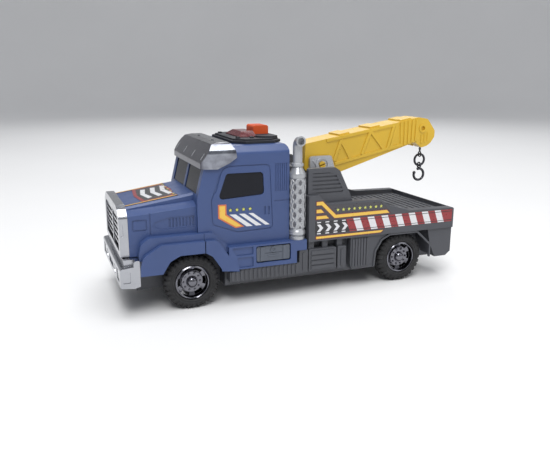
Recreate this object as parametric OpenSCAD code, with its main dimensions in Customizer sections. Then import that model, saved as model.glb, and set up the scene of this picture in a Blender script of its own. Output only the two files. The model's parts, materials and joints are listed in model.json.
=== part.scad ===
// Toy tow truck with a tilting crane boom.
// Axes: +X is the front of the truck, +Y its left side and +Z up.
// The origin is on the ground, halfway between the axles, on the centre plane.

/* [Truck] */
// Distance between the two axles
wheelbase = 194.5; // [192:0.5:196]
// Overall width over the fenders and the bed
body_w = 110; // [108:1:112]
// Overall length, from the bumper to the tip of the boom
body_l = 309; // [309:1:311]
// Height of the cab roof above the ground
roof_z = 130.5; // [129:0.5:132]
// Wall thickness of the moulded shells
wall = 2.2; // [1.8:0.1:2.4]

/* [Wheels] */
// Outside diameter of a tyre
tyre_d = 45; // [43:0.5:46]
// Width of a tyre
tyre_w = 16; // [14:0.5:17]
// Outside diameter of a rim
rim_d = 28; // [26:0.5:30]
// Diameter of the steel axles
axle_d = 4; // [3:0.5:4]

/* [Crane] */
// Height of the boom pivot above the ground
pivot_z = 106.7; // [105:0.1:108]
// Angle of the lower edge of the boom above the horizontal
boom_rise = 17; // [15:1:20]
// Diameter of the boom's two snap pins
pin_d = 6; // [5:0.5:6]
// Outside diameter of the ring on the cord
ring_d = 13.2; // [12.8:0.1:13.4]

/* [Light and sound] */
// Travel of the roof button
button_travel = 2; // [1:0.5:2]
// Diameter of a button cell
cell_d = 11.6; // [10:0.2:12]
// Diameter of the speaker
speaker_d = 28; // [24:1:30]

/* [Hidden] */
$fn = 64;

gap = 0.2;                    // running and assembly clearance
eps = 0.01;                   // overlap of joined solids
film = 0.2;                   // thickness of a sticker
half_w = body_w / 2;
half_l = body_l / 2;
front_x = wheelbase / 2;
rear_x = -wheelbase / 2;
wheel_y = 43;                 // middle of a tyre
bore_d = axle_d + 0.16;        // running fit
floor_z = 15;                 // underside of the chassis
pan_y = 31;                   // half width of the chassis between the wheels
cab_y = 48;                   // half width of the cab
cab_back = 12.4;
bonnet_y = 44;
bonnet_front = 145;
slope_x = 146;                // where the bonnet's sloping tops are at their front height
skirt_top = 49.8;
bed_front = -2.8;
bed_base = 47.2;
deck_z = 62;
bed_top = 79.4;
bulkhead_z = 86.8;
tower_y = 50;
pivot_x = -32.6;
boom_y = 12;                  // half width of the boom
plate_in = 13.5;              // inside of a bracket plate
plate_out = 16.5;             // outside of a bracket plate
cord_x = 7.5 - half_l;
cord_z = 122.5;
ring_z = 103.5;
ring_wire = 1.1;
board_z = 112;
button_x = 23.2;
cells_x = -22;
speaker_x = 38;
stack_x = 5.2;

// Fixing points: [x, y, height of the joint face]
cab_posts = [[66, 22, 40], [20, 37, 31]];
bed_posts = [[-58, 24, 40], [-128, 20, 40]];

navy = [0.17, 0.24, 0.45];
charcoal = [0.22, 0.23, 0.25];
slate = [0.33, 0.34, 0.36];
yellow = [0.95, 0.77, 0.10];

// ---------- shape helpers ----------

function unit(v) = v / norm(v);
function turn(v, a) = [v.x * cos(a) - v.y * sin(a), v.x * sin(a) + v.y * cos(a)];

// Arc of radius r that rounds corner q between neighbours p and s
function corner(p, q, s, r, n = 5) =
    let (a = unit(p - q), b = unit(s - q),
         half = acos(a * b) / 2,
         centre = q + unit(a + b) * r / sin(half),
         t0 = q + a * r / tan(half) - centre,
         t1 = q + b * r / tan(half) - centre,
         sweep = atan2(cross(t0, t1), t0 * t1))
    [for (i = [0:n]) centre + turn(t0, sweep * i / n)];

function flat(p) = [p[0], p[1]];

// Outline with its corners rounded; a point's third value is its own radius
function rounded(pts, r = 0) =
    let (n = len(pts))
    [for (i = [0:n - 1])
        let (q = pts[i], own = len(q) > 2 ? q[2] : r)
        each own == 0 ? [flat(q)]
            : corner(flat(pts[(i + n - 1) % n]), flat(q), flat(pts[(i + 1) % n]), own)];

function low(pts, k) = min([for (p = pts) p[k]]);
function high(pts, k) = max([for (p = pts) p[k]]);

// Outline moved inwards by about d on every side
function shrunk(pts, d) =
    let (cx = (low(pts, 0) + high(pts, 0)) / 2, cz = (low(pts, 1) + high(pts, 1)) / 2,
         sx = 1 - 2 * d / (high(pts, 0) - low(pts, 0)),
         sz = 1 - 2 * d / (high(pts, 1) - low(pts, 1)))
    [for (p = pts) [cx + (p[0] - cx) * sx, cz + (p[1] - cz) * sz]];

function mirrored(pts) = concat(pts, [for (i = [len(pts) - 1:-1:0]) [-pts[i][0], pts[i][1]]]);

// Side view outline (x, z) extruded from y0 to y1
module side(pts, y0, y1) {
    translate([0, y1, 0]) rotate([90, 0, 0]) linear_extrude(y1 - y0) polygon(pts);
}

// Front view outline (y, z) extruded from x0 to x1
module front(pts, x0, x1) {
    translate([x0, 0, 0]) rotate([90, 0, 90]) linear_extrude(x1 - x0) polygon(pts);
}

// Plan view outline (x, y) extruded from z0 to z1
module plan(pts, z0, z1) {
    translate([0, 0, z0]) linear_extrude(z1 - z0) polygon(pts);
}

// Box between two corners
module block(x0, x1, y0, y1, z0, z1) {
    translate([x0, y0, z0]) cube([x1 - x0, y1 - y0, z1 - z0]);
}

// Cylinder along Y from y0 to y1
module rod_y(x, z, y0, y1, d) {
    translate([x, y1, z]) rotate([90, 0, 0]) cylinder(h = y1 - y0, d = d);
}

// Bar of width w from point a to point b of a side view, from y0 to y1
module strip(a, b, w, y0, y1) {
    side([a + turn(unit(b - a), 90) * w / 2, b + turn(unit(b - a), 90) * w / 2,
          b - turn(unit(b - a), 90) * w / 2, a - turn(unit(b - a), 90) * w / 2], y0, y1);
}

module both() {
    children();
    mirror([0, 1, 0]) children();
}

// Side view outline cut or raised on both flanks between |y0| and |y1|
module flanks(pts, y0, y1) {
    both() side(pts, y0, y1);
}

// ---------- chassis ----------

running_board = [[5, 30], [5, 20], [67, 20], [67, 30]];
tank_boxes = [
    rounded([[-2.5, 40.6], [5.3, 40.6], [5.3, 20.5], [-2.5, 20.5]], 1),
    rounded([[-29.5, 40.6], [-3.5, 40.6], [-3.5, 20.5], [-29.5, 20.5]], 2),
    rounded([[-39, 40.6], [-31, 40.6], [-31, 20.5], [-39, 20.5]], 1)];
// Panel ahead of the rear wheel, and the raised lip that runs round the wheel arch
side_panel = [[-44, 46.9], [-81, 46.9], [-70, 35], [-68, 32], [-66.5, 17.5], [-46, 17.5], [-44, 22]];
arch_line = rounded([[-67.4, 18], [-68.6, 32, 5], [-75, 42.4, 5], [-83, 46.1, 4], [-112, 46.1, 4],
                     [-126.4, 33, 5], [-126.4, 21]]);
battery_bay = [cells_x - 9.6, cells_x + 9.6];

module chassis_solid() {
    block(-146, 139, -pan_y, pan_y, floor_z, 46.9);
    block(-66, 69, -46, 46, floor_z, 30);
    both() {
        side(running_board, 44, half_w - 0.8);
        for (i = [0:15]) block(7 + 3.8 * i, 8.8 + 3.8 * i, 50, half_w, 20.8, 29.2);
        for (box = tank_boxes) side(box, 43, half_w - 1);
        for (i = [0:3]) block(-27.4, -5.6, 50, half_w - 0.2, 22.4 + 4.4 * i, 25.6 + 4.4 * i);
        for (x = [-35, 1.4]) block(x - 1, x + 1, 50, half_w - 0.2, 23, 38);
        side(side_panel, 43, half_w - 2);
        for (i = [0:5]) block(-61.6 + 2.8 * i, -59.8 + 2.8 * i, 50, half_w - 1.2, 20, 45.4);
        for (i = [0:len(arch_line) - 2]) strip(arch_line[i], arch_line[i + 1], 1.5, 52, half_w - 0.8);
        block(-66, -3.2, 43, 46, 17.5, 46.9);
        for (x = [-9, -22, -36]) block(x, x + 5, 44, half_w - 3, 40, 46.9);
        side([[-150, 46.9], [-150, 24], [-145, 20], [-133, 20], [-126.5, 34], [-124, 46.9]], 30, half_w - 2);
    }
}

module chassis_hollow() {
    block(-143.8, -60, -pan_y + wall, pan_y - wall, floor_z + wall, 60);
    block(60, 136.8, -pan_y + wall, pan_y - wall, floor_z + wall, 60);
    block(-63.8, 66.8, -43, 43, floor_z + wall, 60);
    both() side([[-147.8, 60], [-147.8, 26], [-144, 22.2], [-134.2, 22.2], [-128.7, 34.4],
                 [-126.5, 60]], 28, half_w - 4.2);
}

// Tube from the floor that takes a screw up into a post of the body
module screw_tube(p) {
    translate([p.x, p.y, floor_z]) cylinder(h = p.z - floor_z, d = 8);
}

module each_fixing() {
    for (p = concat(cab_posts, bed_posts), s = [1, -1]) let ($fixing = [p.x, s * p.y, p.z]) children();
}

module chassis() {
    color(charcoal) difference() {
        union() {
            difference() {
                chassis_solid();
                chassis_hollow();
            }
            for (x = [front_x, rear_x]) both() rod_y(x, tyre_d / 2, pan_y - 7, pan_y, 10);
            each_fixing() screw_tube($fixing);
            // Battery box, the thick floor round its door, and the door screw's boss
            block(battery_bay[0] - 2, battery_bay[1] + 2, -10.4, 10.4, floor_z, 31.4);
            block(cells_x - 19, cells_x + 19, -14, 14, floor_z, floor_z + 3.8);
            translate([cells_x + 14, 0, floor_z]) cylinder(h = 9, d = 7);
            translate([speaker_x, 0, floor_z + wall - eps]) difference() {
                cylinder(h = 6, d = speaker_d + 5);
                cylinder(h = 7, d = speaker_d + 0.8);
            }
        }
        for (x = [front_x, rear_x]) rod_y(x, tyre_d / 2, -60, 60, bore_d);
        each_fixing() translate([$fixing.x, $fixing.y, 0]) {
            cylinder(h = 60, d = 3.2);
            cylinder(h = $fixing.z - 11, d = 6.4);
        }
        block(cells_x - 17.3, cells_x + 17.3, -12.3, 12.3, floor_z - 1, floor_z + 1.9);
        block(battery_bay[0] + 0.4, battery_bay[1] - 0.4, -7, 7, floor_z - 1, 29.4);
        translate([cells_x + 14, 0, 0]) cylinder(h = 30, d = 2.7);
        // Room for the fenders' rear tips
        both() block(58.3, 70, 45.6, 60, 28.4, 31);
        for (ring = [0, 4.5, 9], a = [0:60:300])
            if (ring > 0 || a == 0)
                translate([speaker_x + ring * cos(a), ring * sin(a), 0]) cylinder(h = 30, d = 2);
    }
}

// ---------- cab ----------

cab_side = [[cab_back, 49], [cab_back, roof_z, 4], [72, roof_z, 5], [82, 119.5, 6], [85.2, 113],
            [91, 90], [91, 49]];
door = rounded([[27, 61], [58, 60, 3], [79.5, 68, 4], [80, 88, 3], [70, 113.5, 6], [64, 115, 2],
                [29.5, 115, 4]], 3);
side_window = rounded([[74.2, 87.8], [66.7, 108.8], [35.5, 108.6], [34.7, 90.1]], 3);
quarter_slot = rounded([[75.6, 93.6], [77.6, 93.6], [72.6, 108.6], [71.2, 108]], 0.5);
wheel_arch = rounded([[front_x + 24.4, 10], [front_x + 24.4, 33.6, 4], [front_x + 18.2, 43.2, 4],
                      [front_x + 10, 47.2, 4], [front_x - 10.5, 47.2, 4], [front_x - 16, 43.7, 4],
                      [front_x - 23.6, 32, 4], [front_x - 23.6, 10]]);
flare = rounded([[58.5, 28.7], [77, 57, 5], [122, 57, 8], [136, 49, 8], [138.8, 40, 4], [138.8, 33.6],
                 [100, 33.6]]);
ledge = rounded([[66, 49], [80, 62.5, 4], [131, 62.5, 5], [137, 58, 5], [139, 50, 3], [139, 45],
                 [66, 45]]);
toolbox_opening = rounded([[13.6, 33.9], [44.4, 33.9], [44.4, 48.3], [13.6, 48.3]], 1.5);
step_openings = [[[47, 42], [61.3, 42], [65.4, 48.6], [47, 48.6]],
                 [[47, 31.6], [59.3, 31.6], [60.8, 40.2], [47, 40.2]]];

// Bonnet section at its front end, and the raised bulge on top of it
bonnet_section = mirrored([[bonnet_y, 40], [bonnet_y, 79], [37, 82.2], [0, 82.6]]);
bulge_section = mirrored([[34.5, 70], [33.5, 82.8], [31.5, 84.4]]);
bulge_slope = 8.2;

// Front view section that climbs towards the cab at an angle
module climbing(pts, angle) {
    translate([slope_x, 0, 79]) rotate([0, angle, 0]) translate([0, 0, -79])
        front(pts, -66, 4);
}

// Fender outline drawn in by t, with everything below height z pushed down and left open
function inset_arch(pts, t, z) =
    [for (p = pts) [p[0] + (p[0] > front_x ? -t : t), p[1] - (t > 0 && p[1] < z ? 30 : t)]];

// Front view of the cab, drawn in by t, with a bevelled edge along each side of the roof
function crown(t) = mirrored(rounded([[cab_y - t, 10], [cab_y - t, roof_z - 5.5 - t / 2, 3],
                                      [cab_y - 7 - t / 2, roof_z - t, 5], [1, roof_z - t]]));

// Solid envelope of the cab moulding, drawn in by t on every outer face
module cab_envelope(t) {
    down = t > 0 ? 30 : 0;
    intersection() {
        side(rounded([for (p = cab_side) [p[0] + (p[0] < 20 ? t : -t), p[1] - (p[1] > 50 ? t : down),
                                          len(p) > 2 ? p[2] - t / 2 : 0]]), -cab_y + t, cab_y - t);
        front(crown(t), 0, 100);
    }
    intersection() {
        block(70, bonnet_front - t, -bonnet_y, bonnet_y, 47.2 - down, 100);
        union() {
            translate([0, 0, -t]) climbing([for (p = bonnet_section)
                [p[0] - sign(p[0]) * t, p[1]]], 4.6);
            translate([0, 0, -t]) climbing([for (p = bulge_section)
                [p[0] - sign(p[0]) * t, p[1]]], bulge_slope);
        }
    }
    side(inset_arch(ledge, t, 49.5), -51 + t, 51 - t);
    side(inset_arch(flare, t, 45), -half_w + t, half_w - t);
    block(-1 + t, 67.7 - t, -half_w + t, half_w - t, 30.4 - down, skirt_top - t);
}

module cab_openings() {
    flanks(wheel_arch, pan_y + 0.4, 70);
    flanks(side_window, 40, 60);
    flanks(toolbox_opening, 50, 60);
    for (opening = step_openings) flanks(rounded(opening, 0.8), half_w - 1.2, 60);
    // Room for the tank boxes, and an open back below the skirt's ledge
    both() block(-8, 8, 40, 60, 10, 41);
    block(-8, 8, -44, 44, 10, skirt_top - wall);
    // Room for the front of the chassis
    block(134, 140, -pan_y - 0.3, pan_y + 0.3, 30, 46);
    // Windscreen in two panes
    both() side([[70, 92.5], [100, 92.5], [94, 112], [70, 112]], 2.5, 41);
    // Button, lens and its lamp in the roof
    block(button_x - 3.8, button_x + 3.8, -3.8, 3.8, 110, 140);
    translate([38, 0, 110]) cylinder(h = 30, d = 6);
}

// Shallow lines and recesses in the flanks of the cab and the bonnet
module cab_grooves() {
    difference() {
        flanks(door, cab_y - 0.6, 60);
        flanks(shrunk(door, 0.9), cab_y - 1, 61);
    }
    flanks(quarter_slot, cab_y - 0.8, 60);
    for (x = [30, 33.4])
        flanks(rounded([[x, 73], [x + 1.6, 73], [x + 1.6, 80], [x, 80]], 0.5), cab_y - 0.9, 60);
    for (i = [0:5]) both() block(14.6 + 1.9 * i, 15.6 + 1.9 * i, cab_y - 0.6, 60, 92, 115);
    both() block(cab_back, 26, cab_y - 0.4, 60, 83.6, 84.4);
    // Bonnet: split line, square panel and pointed louvre panel
    both() block(127.6, 128.6, bonnet_y - 0.6, 60, 63, 90);
    difference() {
        flanks(rounded([[130.4, 67.3], [142, 67.3], [142, 76.3], [130.4, 76.3]], 1.5), bonnet_y - 0.6, 60);
        flanks(rounded([[131.4, 68.3], [141, 68.3], [141, 75.3], [131.4, 75.3]], 1), bonnet_y - 1, 61);
    }
    flanks(rounded([[92, 67], [117, 67], [126.4, 69.6], [124, 73.6], [112, 76.5], [92, 76.5]], 1),
           bonnet_y - 0.6, 60);
    for (i = [0:7]) both() block(93 + 2.7 * i, 94.4 + 2.7 * i, bonnet_y - 1.4, 60, 68.4, 75.2);
    // Fender: split line behind the arch
    both() block(86.6, 87.4, 50.5, 60, 47, 70);
}

// Post with a pilot hole that a screw from the chassis bites into
module post(p, top) {
    translate([p.x, p.y, p.z + 0.1]) difference() {
        cylinder(h = top - p.z, d = 7);
        translate([0, 0, -1]) cylinder(h = 12, d = 2.7);
    }
}

module cab_shell() {
    color(navy) {
        difference() {
            cab_envelope(0);
            cab_envelope(wall);
            cab_openings();
            cab_grooves();
        }
        for (s = [1, -1]) {
            post([66, s * 22, 40], 83);
            post([20, s * 37, 31], roof_z - 1.5);
            // Four pegs that carry the circuit board
            for (x = [16.5, 49.5]) translate([x, s * 13, board_z + 1.7])
                cylinder(h = roof_z - wall - board_z - 1.6, d = 3);
        }
        // Webs that tie the front posts to the bonnet
        for (y = [-22, 22])
            side([[66, 74], [66, 83], [91.5, 83], [93, 89.8], [104, 89.8], [104, 74]], y - 1, y + 1);
    }
}

module window_insert() {
    outline = [[24.4, 84], [24.4, 118], [74, 118], [76, 112], [82, 110.4], [88, 87.4], [88, 84]];
    color([0.06, 0.06, 0.07]) {
        difference() {
            side(outline, -cab_y + wall + gap, cab_y - wall - gap);
            side([for (p = outline) [p[0] - (p[0] > 60 ? 1.6 : 10), p[1] + (p[1] < 90 ? -10 : 10)]],
                 -cab_y + wall + gap + 1.5, cab_y - wall - gap - 1.5);
        }
        flanks(shrunk(side_window, 0.2), cab_y - wall - gap - 1, cab_y - 0.8);
        both() side([[83, 92.7], [89.7, 92.7], [84.8, 111.8], [80, 111.8]], 2.8, 40.7);
    }
}

module grille() {
    face_x = bonnet_front + 7;
    outline = rounded(mirrored([[bonnet_y, 47.4, 1], [bonnet_y, 79.5, 4], [37.5, 84.4, 2],
                                [31.5, 86.6, 1]]));
    opening = rounded(mirrored([[bonnet_y - 6, 51], [bonnet_y - 6, 76, 2], [34, 79.4, 2], [29, 80, 1]]));
    color([0.75, 0.76, 0.78]) difference() {
        union() {
            difference() {
                front(outline, bonnet_front + 0.1, face_x);
                front(opening, bonnet_front + 2, 160);
            }
            for (i = [0:5]) block(face_x - 5.4, face_x - 1.5, -38, 38, 53.5 + 4.4 * i, 55.3 + 4.4 * i);
            block(face_x - 5.4, face_x - 0.7, -1.6, 1.6, 50, 81);
        }
        both() block(face_x - 3.1, face_x - 1.1, bonnet_y - 0.8, 60, 64, 73);
    }
}

bumper_side = rounded([[139.2, 26], [144, 24.8], [half_l, 26, 1], [half_l, 41, 2], [144, 42, 0],
                       [144, 46.8, 2.5], [139.2, 46.8, 1]]);
lamp_side = [[146.6, 29.5], [152.3, 29.5], [152.3, 38.5], [146.6, 38.5]];

module front_bumper() {
    color([0.75, 0.76, 0.78]) difference() {
        union() {
            side(bumper_side, -half_w, half_w);
            block(142, 150.8, -50, 50, 40, 46.8);
        }
        block(141, 148.6, -47.8, 47.8, 39, 44.6);
        block(130, 142, -half_w + wall, half_w - wall, 10, 44.8);
        block(141, half_l - wall, -half_w + wall, half_w - wall, 10, 39.8);
        // Square side recesses, fog lamp dimples, air slot and lamp pockets
        flanks(rounded(lamp_side, 0.8), half_w - 1, 60);
        for (y = [-24, 24]) translate([half_l - 0.8, y, 33.5]) rotate([0, 90, 0]) cylinder(h = 5, d = 8);
        block(half_l - 1, 160, -14, 14, 30, 36);
        both() block(half_l - 2, 160, 34, 49, 29, 38);
    }
}

module bumper_lamps() {
    color([0.9, 0.92, 0.95]) both() {
        block(half_l - 1.9, half_l - 0.5, 34.2, 48.8, 29.2, 37.8);
    }
}

visor_side = rounded([[87.5, 113.4], [87.3, 118, 1.5], [77.5, 132, 2], [72, 133.2, 1], [62, 133.2, 2],
                      [59, 127.7, 1], [58.2, 121.5, 1], [64, 117.5, 4], [74.3, 112.9, 2]]);

module sun_visor() {
    color([0.75, 0.76, 0.78]) difference() {
        intersection() {
            side(visor_side, -cab_y - 2.2, cab_y + 2.2);
            front(mirrored(rounded([[cab_y + 2.2, 100], [cab_y + 2.2, roof_z - 3.5, 5],
                                    [cab_y - 5, roof_z + 2.8, 7], [1, roof_z + 2.8]])), 40, 100);
            plan(rounded([[50, -cab_y - 2.2], [87.6, -cab_y - 2.2, 5], [87.6, cab_y + 2.2, 5],
                          [50, cab_y + 2.2]]), 100, 140);
        }
        // Room for the cab, a little larger than the cab itself
        translate([-gap, 0, gap]) intersection() {
            side(rounded([for (p = cab_side) [p[0] + gap * 2, p[1], len(p) > 2 ? p[2] : 0]]),
                 -cab_y - gap, cab_y + gap);
            front(crown(-gap), 0, 100);
        }
        // Four narrow vents that run down the front face
        for (y = [-43, -14.5, 14.5, 43]) translate([84.3, y, 122.3]) rotate([0, -35, 0])
            block(-0.9, 4, -0.8, 0.8, -3.2, 3.2);
    }
    color([0.75, 0.76, 0.78]) for (y = [-22, 22])
        translate([70, y, roof_z + 2]) cylinder(h = 1.2, d = 2.2);
}

function octagon(x0, x1, y, c) = [[x0 + c, -y], [x1 - c, -y], [x1, -y + c], [x1, y - c],
                                  [x1 - c, y], [x0 + c, y], [x0, y - c], [x0, -y + c]];

module roof_console() {
    color(slate) difference() {
        union() {
            plan(octagon(13.4, 56, 39, 9), roof_z, roof_z + 2.2);
            plan(octagon(14.5, 54, 36, 9), roof_z + 2, roof_z + 3.6);
            plan(octagon(14.5, 32.5, 31, 5), roof_z + 3.4, roof_z + 5);
            for (x = [36, 48], y = [-26, 26])
                block(x, x + 3, y - 2, y + 2, roof_z + 3.4, roof_z + 4.8);
        }
        block(15.9, 30.5, -9.6, 9.6, roof_z + 1, 150);
        block(button_x - 3.8, button_x + 3.8, -3.8, 3.8, roof_z - 1, 150);
        block(31.2, 46.3, -20.2, 20.2, roof_z + 2.5, 150);
        translate([38, 0, 110]) cylinder(h = 30, d = 6);
    }
}

module beacon_lens() {
    color([0.55, 0.05, 0.07]) difference() {
        front(mirrored(rounded([[20, roof_z + 2.6], [20, roof_z + 4.4, 1], [11.5, roof_z + 8, 2],
                                [1, roof_z + 8]])), 31.4, 46.1);
        side([[50, roof_z + 4], [45.6, roof_z + 4.4], [41, roof_z + 9], [50, roof_z + 12]], -21, 21);
        translate([38, 0, 110]) cylinder(h = roof_z + 6 - 110, d = 6);
    }
}

// The button is one moulding: cap, square stem and a collar that stops it leaving the roof
module push_button() {
    cap = rounded([[16.3, roof_z + 3.4], [16.3, roof_z + 12.4, 2], [30.1, roof_z + 12.4, 2],
                   [30.1, roof_z + 3.4]]);
    stem_end = board_z + 5.2 + button_travel + 0.2;
    color([0.95, 0.38, 0.12]) {
        difference() {
            side(cap, -9.2, 9.2);
            for (x = [19, 22.2, 25.4]) block(x, x + 1.4, -7, 7, roof_z + 11.8, 150);
        }
        block(button_x - 3.4, button_x + 3.4, -3.4, 3.4, roof_z - 4, roof_z + 4);
        translate([button_x, 0, stem_end]) cylinder(h = roof_z - 3 - stem_end, d = 6);
        translate([button_x, 0, roof_z - 4.4]) cylinder(h = 2, d = 13);
    }
}

// Point on the wire's surface: i of n steps up the coil, at angle a round the wire
function coil_point(r, wire, z0, z1, turns, i, n, a) =
    let (around = 360 * turns * i / n, reach = r + wire * cos(a))
    [reach * cos(around), reach * sin(around), z0 + (z1 - z0) * i / n + wire * sin(a)];

module button_spring() {
    turns = 6;
    n = turns * 20;
    sides = 8;
    z0 = board_z + 2.3;
    z1 = roof_z - 5.1;
    points = [for (i = [0:n], k = [0:sides - 1])
        coil_point(5.3, 0.5, z0, z1, turns, i, n, 360 * k / sides)];
    skin = [for (i = [0:n - 1], k = [0:sides - 1])
        [i * sides + k, i * sides + (k + 1) % sides, (i + 1) * sides + (k + 1) % sides, (i + 1) * sides + k]];
    start = [[for (k = [sides - 1:-1:0]) k]];
    end = [[for (k = [0:sides - 1]) n * sides + k]];
    color([0.7, 0.7, 0.72]) translate([button_x, 0, 0])
        polyhedron(points, concat(start, skin, end), convexity = 10);
}

module tact_switch() {
    color([0.12, 0.12, 0.13]) {
        block(button_x - 3, button_x + 3, -3, 3, board_z + 1.62, board_z + 4.2);
        translate([button_x, 0, board_z + 4.1]) cylinder(h = 1.1, d = 3.4);
    }
}

module circuit_board() {
    color([0.05, 0.35, 0.18]) {
        block(14.8, 52, -16, 16, board_z, board_z + 1.6);
        block(40, 47, -12, -6, board_z - 1.4, board_z + 0.1);
        for (y = [4, 8, 12]) translate([20, y, board_z - 1]) cylinder(h = 1.1, d = 2);
    }
}

module beacon_led() {
    color([0.8, 0.1, 0.1]) {
        translate([38, 0, roof_z - 3]) cylinder(h = 6, d = 5);
        translate([38, 0, roof_z + 3]) sphere(d = 5);
        translate([38, 0, roof_z - 4]) cylinder(h = 1.2, d = 5.6);
        for (y = [-1.27, 1.27]) block(37.7, 38.3, y - 0.3, y + 0.3, board_z + 1.62, roof_z - 3.9);
    }
}

module speaker() {
    color([0.15, 0.15, 0.16]) translate([speaker_x, 0, floor_z + wall]) {
        difference() {
            cylinder(h = 4, d = speaker_d);
            translate([0, 0, -1]) cylinder(h = 3.4, d = speaker_d - 4);
        }
        translate([0, 0, 3.9]) cylinder(h = 4.2, d = 17);
    }
}

// Two insulated leads from the battery bay and two from the speaker to the board
module lead(y, x0, z0) {
    x1 = 20;
    translate([x0, y, z0]) cylinder(h = 36 - z0, d = 1.2, $fn = 24);
    translate([x0, y, 36]) sphere(d = 1.2, $fn = 24);
    translate([min(x0, x1), y, 36]) rotate([0, 90, 0]) cylinder(h = abs(x1 - x0), d = 1.2, $fn = 24);
    translate([x1, y, 36]) sphere(d = 1.2, $fn = 24);
    translate([x1, y, 36]) cylinder(h = board_z - 37.1, d = 1.2, $fn = 24);
}

module wiring() {
    color([0.7, 0.1, 0.1]) {
        lead(4, cells_x + 8.8, 31.5);
        lead(8, speaker_x - 2, 25.6);
    }
    color([0.1, 0.1, 0.1]) {
        lead(12, cells_x + 8.8, 31.5);
    }
}

module button_cells() {
    color([0.78, 0.78, 0.8]) for (i = [-1:1]) translate([cells_x + 5.6 * i - 2.7, 0, 23.2])
        rotate([0, 90, 0]) cylinder(h = 5.4, d = cell_d);
}

module battery_contacts() {
    color([0.8, 0.68, 0.35]) for (x = [cells_x - 9.1, cells_x + 8.7])
        block(x, x + 0.3, -5, 5, 17.4, 29);
}

module battery_door() {
    color(charcoal) difference() {
        block(cells_x - 17, cells_x + 17, -12, 12, floor_z, floor_z + 1.7);
        translate([cells_x + 14, 0, 0]) cylinder(h = 30, d = 3);
        translate([cells_x + 14, 0, floor_z - 1]) cylinder(h = 1.9, d = 5.2);
        for (i = [0:4]) block(cells_x - 12 + 3 * i, cells_x - 10.6 + 3 * i, -8, 8, 10, floor_z + 0.6);
    }
}

// Cross-head screw with its head at z and pointing up
module screw(x, y, z, length, d, head, head_h) {
    translate([x, y, z]) difference() {
        union() {
            cylinder(h = length, d = d);
            cylinder(h = head_h, d = head);
        }
        for (a = [0, 90]) rotate([0, 0, a]) block(-head / 3, head / 3, -0.35, 0.35, -1, head_h / 2);
    }
}

module door_screw() {
    color([0.6, 0.6, 0.62]) screw(cells_x + 14, 0, floor_z + 0.05, 7, 2.6, 4.6, 0.8);
}

module chassis_screws() {
    color([0.6, 0.6, 0.62]) each_fixing()
        screw($fixing.x, $fixing.y, $fixing.z - 12.7, 20, 2.6, 5.6, 1.6);
}

// Exhaust stack: foot, muffler, cone, collar and an outlet that turns outwards
module exhaust_stack() {
    color([0.72, 0.73, 0.75]) translate([stack_x, cab_y, 0]) difference() {
        union() {
            rotate_extrude() polygon([[0, skirt_top + 0.05], [6.6, skirt_top + 0.05], [6.6, 52.4],
                [5.8, 53], [7, 54.4], [7, 57], [6.2, 58.2], [6.2, 101.6], [7, 103], [7, 105.6],
                [6.4, 106.6], [4, 111.4], [5, 111.8], [5, 114], [4, 114.6], [4, 127.8 + eps],
                [0, 127.8 + eps]]);
            translate([0, 4.8, 127.8]) rotate([90, 0, 90]) rotate([0, 0, 90])
                rotate_extrude(angle = 90) translate([4.8, 0]) circle(r = 4);
            rod_y(0, 132.6, 4.7, half_w - cab_y, 8.4);
        }
        rod_y(0, 132.6, 2.2, 20, 6);
        for (i = [0:8]) translate([0, 0, 60 + 5 * i]) difference() {
            cylinder(h = 0.7, d = 14);
            cylinder(h = 0.7, d = 12);
        }
    }
}

module exhaust_left() { exhaust_stack(); }
module exhaust_right() { mirror([0, 1, 0]) exhaust_stack(); }

module toolbox() {
    color([0.45, 0.46, 0.48]) difference() {
        union() {
            side(rounded([[14.3, 34.8], [43.7, 34.8], [43.7, 47.3], [14.3, 47.3]], 1.3), 46.4, half_w - 1);
            for (x = [17.5, 37.5]) block(x, x + 3, 50, half_w - 0.2, 35.2, 47);
            rod_y(29, 44.4, 50, half_w, 4.8);
            block(24, 34, 50, half_w - 0.5, 38.4, 39.6);
        }
        rod_y(29, 44.4, half_w - 0.6, 60, 2.8);
        block(21.8, 36.2, half_w - 1.5, 60, 41.2, 41.7);
    }
}

module toolbox_left() { toolbox(); }
module toolbox_right() { mirror([0, 1, 0]) toolbox(); }

// ---------- bed and tower ----------

bed_side = [[bed_front, bed_base], [bed_front, bulkhead_z, 1], [-12, bulkhead_z, 1], [-19.5, bed_top, 1],
            [-71, bed_top, 2], [-81.3, 73, 3], [-102, 67, 6], [-150, 66, 1.5], [-150, bed_base]];

module bed_body() {
    color(charcoal) {
        difference() {
            side(rounded(bed_side), -half_w, half_w);
            // Sunk deck between the two rails
            front([[-49, 100], [-46, deck_z], [46, deck_z], [49, 100]], -147.8, -47);
            // Hollow underside
            block(-147.8, -44.8, -half_w + wall, half_w - wall, 40, deck_z - wall);
            block(-45, bed_front - wall, -half_w + wall, half_w - wall, 40, bed_top - wall);
            both() block(-147.8, -44.8, 49.4, half_w - wall, 50, 63.8);
            both() block(-69, -44.8, 49.4, half_w - wall, 50, bed_top - wall);
            // Recesses in the rear face
            for (i = [0:5]) block(-151, -149.2, -42 + 15 * i, -33 + 15 * i, 52, 62);
        }
        // Tread bars on the deck
        for (i = [0:15]) block(-144 + 6 * i, -141.6 + 6 * i, -40, 40, deck_z - eps, deck_z + 0.8);
        for (p = bed_posts, s = [1, -1]) post([p.x, s * p.y, p.z], deck_z - wall + 0.1);
    }
}

tower_side = [[-4, bulkhead_z + 0.1], [-4, 109, 2], [-29, 109, 1], [-33.5, 106, 1], [-44, 84.6, 1],
              [-46, bed_top + 0.1], [-19.6, bed_top + 0.1], [-12.1, bulkhead_z + 0.1]];
louvre = rounded([[-8, 91], [-8, 105], [-24, 105], [-30, 102.5], [-37, 89], [-36, 87.5], [-12, 87.5]], 1);

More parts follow.
